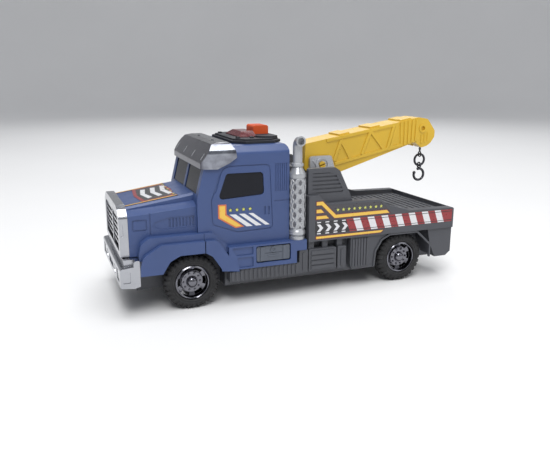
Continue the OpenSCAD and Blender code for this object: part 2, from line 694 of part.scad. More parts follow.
module tower() {
    color(charcoal) {
        both() {
            difference() {
                side(rounded(tower_side), 19, tower_y);
                intersection() {
                    side(shrunk(tower_side, 2.4), 19 + wall, tower_y - wall);
                    block(-60, 0, 0, 60, 70, 98.8);
                }
                block(-41, -8, 19 + wall, tower_y - wall, bed_top - 1, 90);
                // The top is stepped down inside the outer fins
                block(-60, 0, 10, tower_y - 4.5, 101, 120);
                side(louvre, tower_y - 1, 60);
                for (z = [86, 94]) block(-46, -40, 26, 43, z, z + 3);
            }
            for (i = [0:4]) intersection() {
                block(-45, -8, tower_y - 1.6, tower_y - 0.2, 88.7 + 3.4 * i, 90.7 + 3.4 * i);
                side(louvre, 40, 60);
            }
        }
        side([[-19.6, bed_top + 0.1], [-19.6, bed_top + 2], [-46, bed_top + 2], [-46, bed_top + 0.1]],
             -19.1, 19.1);
    }
}

bracket_side = rounded([[-20.6, 81.5], [-20.6, 114.5, 3], [-41.7, 114.5, 2], [-45, 104, 2],
                        [-44, 90, 2], [-45.5, 81.5]]);

module boom_bracket() {
    color([0.62, 0.63, 0.65]) difference() {
        union() {
            flanks(bracket_side, plate_in, plate_out);
            block(-45.5, -20.6, -plate_out, plate_out, 81.5, 84);
            both() rod_y(pivot_x, pivot_z, plate_in, plate_out + 1, pin_d + 7);
            both() strip([-41.6, 88], [-24, 111], 2.4, plate_out - eps, plate_out + 0.7);
        }
        rod_y(pivot_x, pivot_z, -60, 60, pin_d + 0.16);
        both() rod_y(pivot_x, pivot_z, plate_out, 60, pin_d + 4);
        both() block(-28, -24, 12, 20, 88, 96);
    }
}

// ---------- boom, drawn level about its pivot and pointing to -X ----------

// Point of the truck (x, z) seen from the level boom
function level(x, z) = turn([x - pivot_x, z - pivot_z], boom_rise);

cord_local = level(cord_x, cord_z);
boom_side = rounded([[16, 0.6, 3], [8.5, 22.2, 2], [-88, 10, 1], [-110, 7.4, 6], [-119.4, 2.6, 4],
                     concat(level(-half_l, 133), 3), concat(level(-half_l, 127), 3), [-117, -20.5, 4],
                     [-112, -22, 2], [-105.5, -21.5, 2], [-100, -14], [-18, -14, 8],
                     [0, -13, 8], [8.5, -9, 4]]);
boom_inside = rounded([[12, 1, 1], [5, 19, 1], [-88, 7.4, 1], [-98, 5.5, 1], [-98, -30], [-18, -30],
                       [4, -20]]);
cord_slot = [[-102.5, -10], [-130, -10], [-130, -30], [-102.5, -30]];

// Height of a pad's top over the boom's sloping upper edge
function pad_height(x) = 22.5 + 0.126 * x;

// Raised lattice bar on both flanks of the boom
module truss(a, b) {
    both() strip(a, b, 2.8, boom_y - eps, boom_y + 0.9);
}

module boom_level() {
    difference() {
        union() {
            side(boom_side, -boom_y, boom_y);
            // Collar ribs, nose ribs and three pads on the top edge
            for (i = [0:4]) both() strip([-90.2 - 4.4 * i, 8.6 - 0.6 * i], [-84.6 - 4.1 * i, -13], 2.2,
                boom_y - 1, boom_y + 0.8);
            for (i = [0:2]) both() strip([-109 - 3.6 * i, -10], [-106.9 - 3.6 * i, -17.5], 1.6,
                boom_y - 1, boom_y + 0.6);
            for (x = [-31, -63, -96])
                side([[x + 7, 8], [x + 5, pad_height(x + 5)], [x - 5, pad_height(x - 5)], [x - 7, 8]],
                     -boom_y + 1, boom_y - 1);
            both() rod_y(-111.6, -4.2, boom_y - 1, boom_y + 0.8, 8);
            // Lattice, flange along the lower edge, and double bar before the collar
            for (p = [[[-14, -2], [-26, 14]], [[-26, 14], [-30.5, -6]], [[-42.6, -6], [-57, 12]],
                      [[-57, 12], [-66, -9]], [[-70, -9.6], [-82, 8.6]], [[-73.6, -10], [-85.6, 8.6]],
                      [[-12, 18], [-86, 8.8]], [[-14, -5], [-86, -11.6]]]) truss(p[0], p[1]);
            both() rod_y(0, 0, boom_y - 1, plate_in - gap - 0.2, 13);
        }
        side(boom_inside, -boom_y + wall, boom_y - wall);
        side(cord_slot, -2.4, 2.4);
        both() rod_y(-111.6, -4.2, boom_y - 1.2, 20, 4.4);
    }
    // Snap pins, split by a slot so that they can be squeezed in
    both() difference() {
        rod_y(0, 0, boom_y - 1, plate_out + 1.4, pin_d);
        block(-5, 5, boom_y + 2.4, 20, -0.6, 0.6);
    }
    // Bar across the nose slot that the cord hangs from
    rod_y(cord_local.x, cord_local.y, -4, 4, 2);
}

module boom() {
    color(yellow) translate([pivot_x, 0, pivot_z]) rotate([0, boom_rise, 0]) boom_level();
}

// ---------- hanging tackle ----------

ring_r = ring_d / 2 - ring_wire;   // centre line of the ring's wire

module wire_ring(r, wire) {
    rotate_extrude() translate([r, 0]) circle(r = wire, $fn = 24);
}

// Cord with an eye round the bar in the nose and an eye round the ring
module cord() {
    eye_z = ring_z + ring_r;
    color([0.12, 0.12, 0.13]) {
        translate([cord_x, 0, cord_z]) rotate([90, 0, 0]) wire_ring(1.9, 0.6);
        translate([cord_x, 0, eye_z + 2.3]) cylinder(h = cord_z - 1.9 - eye_z - 2.3, r = 0.8);
        translate([cord_x, 0, eye_z]) rotate([0, 90, 0]) wire_ring(2.4, 0.7);
    }
}

module hook_ring() {
    color([0.8, 0.8, 0.82]) translate([cord_x, 0, ring_z]) rotate([90, 0, 0]) wire_ring(ring_r, ring_wire);
}

// Open hook with an eye round the bottom of the ring
module tow_hook() {
    eye_z = ring_z - ring_r;
    hook_r = 5.6;
    hook_z = eye_z - 3.4 - hook_r;
    color([0.8, 0.8, 0.82]) {
        translate([cord_x, 0, eye_z]) rotate([0, 90, 0]) wire_ring(2.6, 0.8);
        translate([cord_x, 0, hook_z]) rotate([90, 0, 0]) rotate([0, 0, 80])
            rotate_extrude(angle = 300) translate([hook_r, 0]) circle(r = 1.2, $fn = 24);
        for (end = [[80, 1.5], [20, 1.6]])
            translate([cord_x + hook_r * cos(end[0]), 0, hook_z + hook_r * sin(end[0])]) sphere(r = end[1]);
    }
}

// ---------- wheels ----------

module axle(x) {
    color([0.7, 0.7, 0.72]) {
        rod_y(x, tyre_d / 2, -wheel_y - 5.5, wheel_y + 5.5, axle_d);
    }
}

// Rim: stepped barrel, dished disc with six hand holes, ten lug nuts and a domed hub, axis along Y
module rim() {
    face = tyre_w / 2;
    r = rim_d / 2;
    disc_r = r - 2;
    nuts = 10;
    rotate([-90, 0, 0]) difference() {
        union() {
            rotate_extrude() polygon([[0, 0.5 - face], [4.5, 0.5 - face], [4.5, 0.4], [disc_r, 0.4],
                [disc_r, 0.5 - face], [r, 0.5 - face], [r, face - 0.6], [r - 0.8, face], [r - 1.4, face - 0.4],
                [disc_r, 3.4], [8.8, 2.4], [8.5, 4.6], [5.4, 5], [4.4, 4.6], [4, 6.4], [3, 7.6], [1.2, 8.2],
                [0, 8.3]]);
            for (i = [0:nuts - 1]) rotate([0, 0, 360 * i / nuts]) translate([7, 0, 4]) {
                cylinder(h = 2, d = 2, $fn = 6);
                cylinder(h = 2.5, d = 1);
            }
        }
        translate([0, 0, -20]) cylinder(h = 20 + 5.7, d = axle_d + 0.06);
        for (i = [0:5]) rotate([0, 0, 60 * i - 18])
            rotate_extrude(angle = 36) translate([9.3, -face]) square([disc_r - 9.4, tyre_w]);
    }
}

// Tyre with rounded shoulders and a block tread, axis along Y
module tyre() {
    r = tyre_d / 2;
    w = tyre_w / 2;
    bead = rim_d / 2 + 0.03;
    rotate([-90, 0, 0]) difference() {
        rotate_extrude($fn = 96) polygon(rounded([[bead, -w + 0.6], [bead + 1.5, -w], [r - 3.5, -w, 2],
            [r, -w + 3, 1.5], [r, w - 3, 1.5], [r - 3.5, w, 2], [r - 4.4, w], [r - 4.7, w - 0.4],
            [r - 5.1, w - 0.4], [r - 5.4, w], [bead + 1.5, w], [bead, w - 0.6]]));
        for (s = [0, 1], i = [0:23]) rotate([0, 0, 15 * i + 7.5 * s])
            block(r - 1.2, r + 2, -0.8, 0.8, s * (w + 2) - w - 2, s * (w - 2) + 1 - s);
    }
}

module placed(x, s) {
    translate([x, s * wheel_y, tyre_d / 2]) mirror([0, s < 0 ? 1 : 0, 0]) children();
}

module front_axle() { axle(front_x); }
module rear_axle() { axle(rear_x); }
module front_left_rim() { color([0.8, 0.8, 0.82]) placed(front_x, 1) rim(); }
module front_right_rim() { color([0.8, 0.8, 0.82]) placed(front_x, -1) rim(); }
module rear_left_rim() { color([0.8, 0.8, 0.82]) placed(rear_x, 1) rim(); }
module rear_right_rim() { color([0.8, 0.8, 0.82]) placed(rear_x, -1) rim(); }
module front_left_tyre() { color([0.08, 0.08, 0.09]) placed(front_x, 1) tyre(); }
module front_right_tyre() { color([0.08, 0.08, 0.09]) placed(front_x, -1) tyre(); }
module rear_left_tyre() { color([0.08, 0.08, 0.09]) placed(rear_x, 1) tyre(); }
module rear_right_tyre() { color([0.08, 0.08, 0.09]) placed(rear_x, -1) tyre(); }

// ---------- stickers ----------

module bonnet_sticker() {
    color([0.45, 0.08, 0.1]) translate([slope_x, 0, 79]) rotate([0, bulge_slope, 0])
        translate([0, 0, -79])
        plan([[-2, -28], [-2, 28], [-46, 30.5], [-46, -30.5]], 84.42, 84.4 + film);
}

module door_sticker() {
    color([0.95, 0.95, 0.9]) side([[73, 85], [66, 85], [64, 81], [44, 80.5], [30.5, 66], [30.5, 64],
        [36, 63.6], [58, 63], [73, 71]], cab_y + 0.02, cab_y + film);
}

module door_sticker_left() { door_sticker(); }
module door_sticker_right() { mirror([0, 1, 0]) door_sticker(); }

module bed_sticker() {
    color([0.95, 0.95, 0.9]) side([[-8, 50.5], [-8, 83.5], [-16, 78], [-70, 78], [-80, 71.5], [-101, 65.8],
        [-148, 64.8], [-148, 50.5]], half_w + 0.02, half_w + film);
}

module bed_sticker_left() { bed_sticker(); }
module bed_sticker_right() { mirror([0, 1, 0]) bed_sticker(); }

chassis();
cab_shell();
window_insert();
grille();
front_bumper();
bumper_lamps();
sun_visor();
roof_console();
beacon_lens();
push_button();
button_spring();
tact_switch();
circuit_board();
beacon_led();
speaker();
wiring();
button_cells();
battery_contacts();
battery_door();
door_screw();
chassis_screws();
exhaust_left();
exhaust_right();
toolbox_left();
toolbox_right();
bed_body();
tower();
boom_bracket();
boom();
cord();
hook_ring();
tow_hook();
front_axle();
front_left_rim();
front_right_rim();
front_left_tyre();
front_right_tyre();
rear_axle();
rear_left_rim();
rear_right_rim();
rear_left_tyre();
rear_right_tyre();
bonnet_sticker();
door_sticker_left();
door_sticker_right();
bed_sticker_left();
bed_sticker_right();
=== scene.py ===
"""Looks of the toy tow truck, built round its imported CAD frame.

Node materials, soft edges on the CAD nodes, printed stickers, fine relief and a plain studio.
Lengths are in millimetres and meet Blender's metres through MM, except in the studio and the camera.
"""
import json
import math

import bmesh
import bpy
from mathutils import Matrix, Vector


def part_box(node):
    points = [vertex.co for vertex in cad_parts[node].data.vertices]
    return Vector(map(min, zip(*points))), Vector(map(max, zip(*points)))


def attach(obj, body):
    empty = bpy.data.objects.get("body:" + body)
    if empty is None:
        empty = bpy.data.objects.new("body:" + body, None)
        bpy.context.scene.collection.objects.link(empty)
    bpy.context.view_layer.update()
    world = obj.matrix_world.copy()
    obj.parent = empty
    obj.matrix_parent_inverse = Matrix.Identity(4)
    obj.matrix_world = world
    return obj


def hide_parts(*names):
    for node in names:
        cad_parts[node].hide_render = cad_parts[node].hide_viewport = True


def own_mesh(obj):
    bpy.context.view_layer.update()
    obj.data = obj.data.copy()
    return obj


MM = 0.001
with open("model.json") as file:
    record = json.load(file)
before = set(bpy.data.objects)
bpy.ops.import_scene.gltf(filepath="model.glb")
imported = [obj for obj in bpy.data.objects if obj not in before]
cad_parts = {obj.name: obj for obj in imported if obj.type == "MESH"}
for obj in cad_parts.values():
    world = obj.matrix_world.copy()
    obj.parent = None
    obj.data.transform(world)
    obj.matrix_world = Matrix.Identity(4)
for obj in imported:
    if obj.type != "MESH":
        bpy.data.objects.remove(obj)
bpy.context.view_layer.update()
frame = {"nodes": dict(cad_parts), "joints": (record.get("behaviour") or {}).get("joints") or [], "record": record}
NODES = frame["nodes"]
JOINTS = {joint["name"]: joint for joint in frame["joints"]}
SLOTS = {part["node"]: part["material_slot"] for part in frame["record"]["subparts"]}
SIDES = {"left": 1, "right": -1}  # which way y points there
FULL_TURN = 2 * math.pi


# ---------- procedural materials ----------

FINISHES = {}  # every finished material, by name


class Finish:
    """One node material, built from small steps. Patterns use the part's own coordinates."""
    # Sockets of the colour Mix node, whose names repeat for its other data types
    MIX_FACTOR, MIX_FIRST, MIX_SECOND, MIX_RESULT = 0, 6, 7, 2
    # Inputs of Map Range: from min, from max, to min, to max
    RANGE_INPUTS = (1, 2, 3, 4)

    def __init__(self, name):
        self.name = name
        self.material = bpy.data.materials.new(name)
        self.material.use_nodes = True
        self.tree = self.material.node_tree
        self.shader = self.tree.nodes["Principled BSDF"]
        self.coords = self.add("ShaderNodeTexCoord").outputs["Object"]
        self.normal = None

    def add(self, kind, settings=None, **values):
        """New node of a kind, with its settings and with a value or a link for each named input."""
        made = self.tree.nodes.new(kind)
        for name, value in (settings or {}).items():
            setattr(made, name, value)
        for name, value in values.items():
            self.feed(made.inputs[name], value)
        return made

    def feed(self, socket, value):
        if isinstance(value, bpy.types.NodeSocket):
            self.tree.links.new(value, socket)
        elif isinstance(value, (tuple, list)) and socket.type == "RGBA":
            socket.default_value = (*value[:3], 1.0)
        else:
            socket.default_value = value

    def noise(self, size_mm, detail=3.0, stretch=(1, 1, 1)):
        """Noise whose features are about size_mm across, stretched along an axis if asked."""
        scaled = self.add("ShaderNodeMapping", Vector=self.coords, Scale=stretch).outputs[0]
        scale = 1.0 / (size_mm * MM)
        return self.add("ShaderNodeTexNoise", Vector=scaled, Scale=scale, Detail=detail).outputs[0]

    def cells(self, size_mm):
        """Distance to the nearest of many scattered points about size_mm apart."""
        scale = 1.0 / (size_mm * MM)
        return self.add("ShaderNodeTexVoronoi", Vector=self.coords, Scale=scale).outputs[0]

    def span(self, value, low, high, start=0.3, end=0.7):
        """Runs from low to high as value runs from start to end, and stays there beyond them."""
        made = self.add("ShaderNodeMapRange", Value=value)
        for index, number in zip(self.RANGE_INPUTS, (start, end, low, high)):
            made.inputs[index].default_value = number
        return made.outputs[0]

    def blend(self, factor, first, second):
        """Colour between first (factor 0) and second (factor 1)."""
        made = self.add("ShaderNodeMix", {"data_type": "RGBA"})
        self.feed(made.inputs[self.MIX_FACTOR], factor)
        self.feed(made.inputs[self.MIX_FIRST], first)
        self.feed(made.inputs[self.MIX_SECOND], second)
        return made.outputs[self.MIX_RESULT]

    def relief(self, height, depth_mm, strength=1.0):
        """Adds a bump of about depth_mm on top of any bump before it."""
        made = self.add("ShaderNodeBump", Height=height, Distance=depth_mm * MM, Strength=strength)
        if self.normal is not None:
            self.feed(made.inputs["Normal"], self.normal)
        self.normal = made.outputs[0]

    def done(self, **values):
        """Sets the shader's inputs, named with _ for a space, and keeps the material in FINISHES."""
        for name, value in values.items():
            self.feed(self.shader.inputs[name.replace("_", " ")], value)
        if self.normal is not None:
            self.feed(self.shader.inputs["Normal"], self.normal)
        FINISHES[self.name] = self.material


def tinted(colour, share):
    """The colour made lighter (share above 1) or darker (below 1)."""
    return tuple(min(1.0, channel * share) for channel in colour)


def moulded(name, colour, roughness, variation=0.07, grain_mm=0.35, grain_depth=0.02, coat=0.0,
            specular=0.45):
    """Injection-moulded plastic: faint flow patches, a fine mould grain and worn-smooth spots."""
    f = Finish(name)
    patches = f.span(f.noise(28), 0.0, 1.0)
    grain = f.noise(grain_mm, 2.0)
    base = f.blend(patches, tinted(colour, 1 - variation), tinted(colour, 1 + variation))
    fine = f.blend(f.span(grain, 0.0, 0.5), base, tinted(colour, 1 - 2 * variation))
    handled = f.span(f.noise(9, 4.0), roughness - 0.05, roughness + 0.07)
    f.relief(grain, grain_depth, 0.6)
    f.relief(f.noise(14, 1.0), 0.08, 0.25)
    f.done(Base_Color=fine, Roughness=handled, Coat_Weight=coat, Coat_Roughness=0.2,
           Specular_IOR_Level=specular)


def plated(name, colour, roughness, smear=0.06, sides=None, tops=None):
    """Vacuum-plated plastic: nearly a mirror, with slight waviness, haze and pinhole specks.

    Faces that look sideways may get a painted bright reflection (sides), and faces that look up a painted dark
    reflection (tops).
    """
    f = Finish(name)
    tone = colour
    if sides or tops:
        facing = f.add("ShaderNodeTexCoord").outputs["Normal"]
        facing = f.add("ShaderNodeSeparateXYZ", Vector=facing).outputs
    # Painted dark reflection on the faces that look up
    if tops:
        tone = f.blend(f.span(facing["Z"], 0.0, 1.0, 0.75, 0.95), tone, tops)
    # Painted bright reflection on the faces that look sideways
    if sides:
        sideways = f.add("ShaderNodeMath", {"operation": "ABSOLUTE"}, Value=facing["Y"]).outputs[0]
        tone = f.blend(f.span(sideways, 0.0, 1.0, 0.35, 0.8), tone, sides)
    haze = f.noise(11, 4.0)
    specks = f.span(f.cells(0.9), 1.0, 0.0, 0.0, 0.12)
    base = f.blend(f.span(haze, 0.0, 1.0), tinted(colour, 0.9), tone)
    speckled = f.blend(f.span(specks, 0.0, 0.35, 0.6, 1.0), base, tinted(colour, 0.45))
    f.relief(f.noise(6, 1.0), 0.05, 0.35)
    f.done(Base_Color=speckled, Metallic=1.0,
           Roughness=f.span(haze, roughness - smear / 2, roughness + smear))


def brushed(name, colour, roughness, stretch=(1, 1, 18)):
    """Drawn or brushed metal with fine scratches along one axis."""
    f = Finish(name)
    scratches = f.noise(1.6, 5.0, stretch)
    base = f.blend(f.span(scratches, 0.0, 1.0), tinted(colour, 0.82), colour)
    f.relief(scratches, 0.02, 0.5)
    f.done(Base_Color=base, Metallic=1.0,
           Roughness=f.span(scratches, roughness - 0.08, roughness + 0.1))


def metallic_paint(name, colour, roughness):
    """Silver plastic with metal flake in the resin."""
    f = Finish(name)
    flakes = f.cells(0.25)
    patches = f.span(f.noise(17), 0.0, 1.0)
    base = f.blend(patches, tinted(colour, 0.9), tinted(colour, 1.06))
    glinting = f.blend(f.span(flakes, 0.3, 0.0, 0.0, 0.5), base, tinted(colour, 1.35))
    f.relief(f.noise(0.4, 2.0), 0.015, 0.5)
    f.done(Base_Color=glinting, Metallic=0.55,
           Roughness=f.span(flakes, roughness - 0.06, roughness + 0.08))


def rubber(name, colour):
    """Matt rubber with a pale bloom in patches."""
    f = Finish(name)
    bloom = f.noise(7, 5.0)
    base = f.blend(f.span(bloom, 0.0, 1.0), colour, tinted(colour, 1.8))
    f.relief(f.noise(0.3, 3.0), 0.03, 0.7)
    f.relief(f.noise(2.5, 2.0), 0.04, 0.3)
    f.done(Base_Color=base, Roughness=f.span(bloom, 0.62, 0.8), Specular_IOR_Level=0.3)


def clear_plastic(name, colour, roughness=0.06, milky=0.15):
    """Tinted see-through moulding with a little haze and sink marks."""
    f = Finish(name)
    cloud = f.span(f.noise(6, 3.0), 0.0, 1.0)
    base = f.blend(cloud, tinted(colour, 0.85), colour)
    f.relief(f.noise(2.2, 1.0), 0.06, 0.5)
    f.done(Base_Color=base, Transmission_Weight=1.0 - milky, IOR=1.49,
           Roughness=f.span(cloud, roughness, roughness + 0.08))


def printed(name, colour, roughness=0.3):
    """Ink on gloss film, with a fine print screen and slightly uneven ink."""
    f = Finish(name)
    screen = f.cells(0.32)
    inked = f.blend(f.span(screen, 0.0, 0.6, 0.0, 0.6), tinted(colour, 0.93), colour)
    uneven = f.blend(f.span(f.noise(5), 0.0, 1.0), tinted(colour, 0.95), inked)
    f.relief(f.noise(9, 1.0), 0.03, 0.3)
    f.done(Base_Color=uneven, Roughness=f.span(f.noise(3), roughness - 0.05, roughness + 0.08),
           Coat_Weight=0.25, Coat_Roughness=0.15)


def twisted_yarn(name, colour):
    """Cord of fine fibres that lie along z."""
    f = Finish(name)
    fibres = f.noise(0.25, 4.0, (1, 1, 0.3))
    base = f.blend(f.span(fibres, 0.0, 1.0), colour, tinted(colour, 2.2))
    f.relief(fibres, 0.06, 1.0)
    f.done(Base_Color=base, Roughness=0.85, Sheen_Weight=0.3)


moulded("charcoal_plastic", (0.07, 0.073, 0.084), 0.46)
moulded("blue_plastic", (0.042, 0.075, 0.2), 0.36, variation=0.05, coat=0.15)
moulded("black_window", (0.009, 0.01, 0.015), 0.12, grain_depth=0.004, specular=0.2)
plated("chrome_plating", (0.45, 0.46, 0.49), 0.2)
# The visor's brighter sides and darker top are painted reflections
plated("visor_chrome", (0.1, 0.1, 0.125), 0.14, sides=(0.4, 0.42, 0.47), tops=(0.04, 0.042, 0.055))
plated("black_chrome", (0.075, 0.075, 0.085), 0.13)
plated("rim_chrome", (0.2, 0.2, 0.225), 0.16)
clear_plastic("clear_lens", (0.93, 0.95, 0.97))
moulded("grey_plastic", (0.03, 0.031, 0.038), 0.58, specular=0.15)
clear_plastic("red_lens", (0.3, 0.035, 0.045), milky=0.35)
moulded("orange_plastic", (0.62, 0.09, 0.022), 0.5, grain_depth=0.01, specular=0.25)
brushed("steel", (0.5, 0.5, 0.52), 0.3)
moulded("black_plastic", (0.02, 0.02, 0.022), 0.45)
moulded("board_green", (0.012, 0.12, 0.045), 0.35, variation=0.15, grain_mm=1.4)
moulded("wire_cover", (0.42, 0.018, 0.018), 0.4)
brushed("contact_brass", (0.78, 0.58, 0.25), 0.28, (1, 14, 1))
metallic_paint("silver_plastic", (0.42, 0.43, 0.45), 0.32)
# Painted shade for the insides of the exhaust guard's ovals
metallic_paint("guard_shade", (0.15, 0.15, 0.165), 0.45)
moulded("light_grey_plastic", (0.1, 0.115, 0.145), 0.42)
moulded("yellow_plastic", (0.66, 0.42, 0.035), 0.36, variation=0.04)
twisted_yarn("black_cord", (0.02, 0.02, 0.022))
rubber("tyre_rubber", (0.02, 0.02, 0.021))
printed("sticker_film", (0.05, 0.048, 0.056))
printed("ink_white", (0.72, 0.72, 0.74))
printed("ink_yellow", (0.8, 0.5, 0.07))
printed("ink_lime", (0.62, 0.64, 0.12))
printed("ink_orange", (0.62, 0.16, 0.05))
printed("ink_red", (0.27, 0.02, 0.025))
printed("ink_maroon", (0.13, 0.02, 0.035))
printed("ink_black", (0.016, 0.015, 0.018))

# Nodes whose finish differs from the rest of their slot; the visor's finish carries painted reflections
OWN_FINISH = {"sun_visor": "visor_chrome", "hook_ring": "black_chrome", "tow_hook": "black_chrome",
              "front_left_rim": "rim_chrome", "front_right_rim": "rim_chrome",
              "rear_left_rim": "rim_chrome", "rear_right_rim": "rim_chrome"}
# Materials of every sticker, in slot order
INKS = ("sticker_film", "ink_white", "ink_yellow", "ink_lime", "ink_orange", "ink_red", "ink_maroon",
        "ink_black")


# ---------- the CAD nodes: finish and soft edges ----------

# Edge radius in mm of the nodes that differ from the usual one
EDGE_MM = {"cab_shell": 0.45, "chassis": 0.3, "bed_body": 0.4, "boom": 0.4, "sun_visor": 0.4,
           "front_bumper": 0.4, "grille": 0.35, "push_button": 0.45, "beacon_lens": 0.4,
           "window_insert": 0.25, "roof_console": 0.35, "tower": 0.3}
SMALL_EDGE_MM = 0.2
# Round, bent or tiny nodes, whose edges stay as they are
UNBEVELLED = ("button_spring", "wiring", "hook_ring", "tow_hook", "button_cells", "front_axle",
              "rear_axle", "battery_contacts", "beacon_led", "tact_switch", "door_screw",
              "chassis_screws", "circuit_board")
WELD_MM = 0.002
FLAT_ANGLE = math.radians(0.4)
SHARP_ANGLE = math.radians(32)


def soften(node, radius_mm):
    """Welds a CAD node's seams, clears its flat faces of needless edges and rounds its sharp edges."""
    obj = NODES[node]
    weld = obj.modifiers.new("weld", "WELD")
    weld.merge_threshold = WELD_MM * MM
    if radius_mm > 0:
        flat = obj.modifiers.new("flat", "DECIMATE")
        flat.decimate_type = "DISSOLVE"
        flat.angle_limit = FLAT_ANGLE
        bevel = obj.modifiers.new("edges", "BEVEL")
        bevel.width = radius_mm * MM
        bevel.segments = 2
        bevel.limit_method = "ANGLE"
        bevel.angle_limit = SHARP_ANGLE
        bevel.use_clamp_overlap = True
    shading = obj.modifiers.new("shading", "WEIGHTED_NORMAL")
    shading.keep_sharp = True
    for polygon in obj.data.polygons:
        polygon.use_smooth = True


def dress_cad_nodes():
    """Gives every CAD node its finish and its soft edges."""
    for name, obj in NODES.items():
        obj.data.materials.clear()
        obj.data.materials.append(FINISHES[OWN_FINISH.get(name, SLOTS[name])])
        soften(name, 0 if name in UNBEVELLED else EDGE_MM.get(name, SMALL_EDGE_MM))


# ---------- piece helpers ----------

SHARPEST_MITRE = 0.35  # keeps the corners of very acute points from running far out
STAR_WAIST = 0.42      # radius of a star's inner corners, as a share of its tips'


def place_object(name, data):
    """New object for some data, linked to the scene."""
    obj = bpy.data.objects.new(name, data)
    bpy.context.scene.collection.objects.link(obj)
    return obj


def mesh_from(name, bm, finishes):
    """Smooth-shaded mesh made of a bmesh, which is used up."""
    for face in bm.faces:
        face.smooth = True
    mesh = bpy.data.meshes.new(name)
    bm.to_mesh(mesh)
    bm.free()
    for finish in finishes:
        mesh.materials.append(FINISHES[finish])
    return mesh


def adopt(obj, body, replaced):
    """Makes an object a piece that rides on a body and may stand for CAD nodes."""
    if replaced:
        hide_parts(*replaced)
    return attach(obj, body)


def piece(name, bm, body, finishes, replaced=(), smooth_below=35):
    """Turns a bmesh into a finished piece; edges flatter than smooth_below degrees look rounded."""
    bmesh.ops.recalc_face_normals(bm, faces=bm.faces)
    limit = math.radians(smooth_below)
    for edge in bm.edges:
        edge.smooth = len(edge.link_faces) == 2 and edge.calc_face_angle() < limit
    return adopt(place_object(name, mesh_from(name, bm, finishes)), body, replaced)


def ring_angles(count):
    """Angles of count evenly spaced points on a circle."""
    return [FULL_TURN * k / count for k in range(count)]


def row(start, pitch, count):
    """Evenly spaced positions."""
    return [start + pitch * k for k in range(count)]


def join_rings(bm, here, there):
    """Quads between two rings that have the same number of vertices."""
    for k, vertex in enumerate(here):
        m = (k + 1) % len(here)
        bm.faces.new((vertex, here[m], there[m], there[k]))


def prism(bm, outline, place, low, high, material=0):
    """Closed plate over an outline of (u, v) in mm; place(u, v, height) gives the point."""
    bottom, top = ([bm.verts.new(place(u, v, height)) for u, v in outline] for height in (low, high))
    faces = [bm.faces.new(bottom[::-1]), bm.faces.new(top)]
    for i, vertex in enumerate(bottom):
        j = (i + 1) % len(outline)
        faces.append(bm.faces.new((vertex, bottom[j], top[j], top[i])))
    for face in faces:
        face.material_index = material


def lathe(bm, profile, steps, place, shift):
    """Closed ring of a profile of (radius, height) in mm, turned round an axis.

    shift(angle, radius, height) says how far outwards a point moves.
    """
    rings = [[bm.verts.new(place(radius + shift(angle, radius, height), angle, height))
              for radius, height in profile] for angle in ring_angles(steps)]
    for here, there in zip(rings, rings[1:] + rings[:1]):
        join_rings(bm, here, there)


def grown(outline, amount):
    """Outline moved outwards by amount on every side, with mitred corners."""
    area = sum(a[0] * b[1] - b[0] * a[1] for a, b in zip(outline, outline[1:] + outline[:1]))
    sign = 1 if area > 0 else -1
    result = []
    for i, point in enumerate(outline):
        before, after = Vector(outline[i - 1]), Vector(outline[(i + 1) % len(outline)])
        here = Vector(point)
        d0, d1 = (here - before).normalized(), (after - here).normalized()
        n0, n1 = Vector((d0.y, -d0.x)) * sign, Vector((d1.y, -d1.x)) * sign
        mitre = (n0 + n1) / max(SHARPEST_MITRE, 1 + n0.dot(n1))
        result.append(tuple(here + mitre * amount))
    return result


def star(u, v, radius):
    """Outline of a five-pointed star that stands on two tips."""
    points = []
    for i in range(10):
        reach = radius if i % 2 == 0 else radius * STAR_WAIST
        angle = math.radians(90 + 36 * i)
        points.append((u + reach * math.cos(angle), v + reach * math.sin(angle)))
    return points


# ---------- stickers ----------

STAR_RADIUS = 1.6  # of the stars on the flanks


class Sticker:
    """Print on a CAD sticker: shapes stacked as thin plates, each layer a little over the last."""
    LAYER = 0.05  # mm

    def __init__(self, node, place):
        self.bm = bmesh.new()
        self.node = node
        self.place = place

    def ink(self, outline, name, layer):
        """A plate of one ink, with its top on a layer."""
        prism(self.bm, outline, self.place, 0.0, self.LAYER * layer, INKS.index(name))

    def outlined(self, outline, name, border_name, border, layer):
        """A plate on a wider plate of another ink that shows as a border, in mm."""
        self.ink(grown(outline, border), border_name, layer)
        self.ink(outline, name, layer + 1)

    def done(self):
        """Makes the piece that stands for the CAD sticker."""
        piece(f"{self.node}_print", self.bm, "truck", INKS, [self.node])


class FlankSticker(Sticker):
    """Sticker on a flank of the truck: u is x, v is z and height stands out sideways, in mm."""
    SUNK = 0.18  # how far the plates start inside the CAD sticker's outer face

    def __init__(self, kind, side_name):
        side = SIDES[side_name]
        node = f"{kind}_{side_name}"
        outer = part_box(node)[1 if side > 0 else 0]
        plane = abs(outer.y) / MM - self.SUNK
        super().__init__(node, lambda u, v, height: Vector((u, side * (plane + height), v)) * MM)


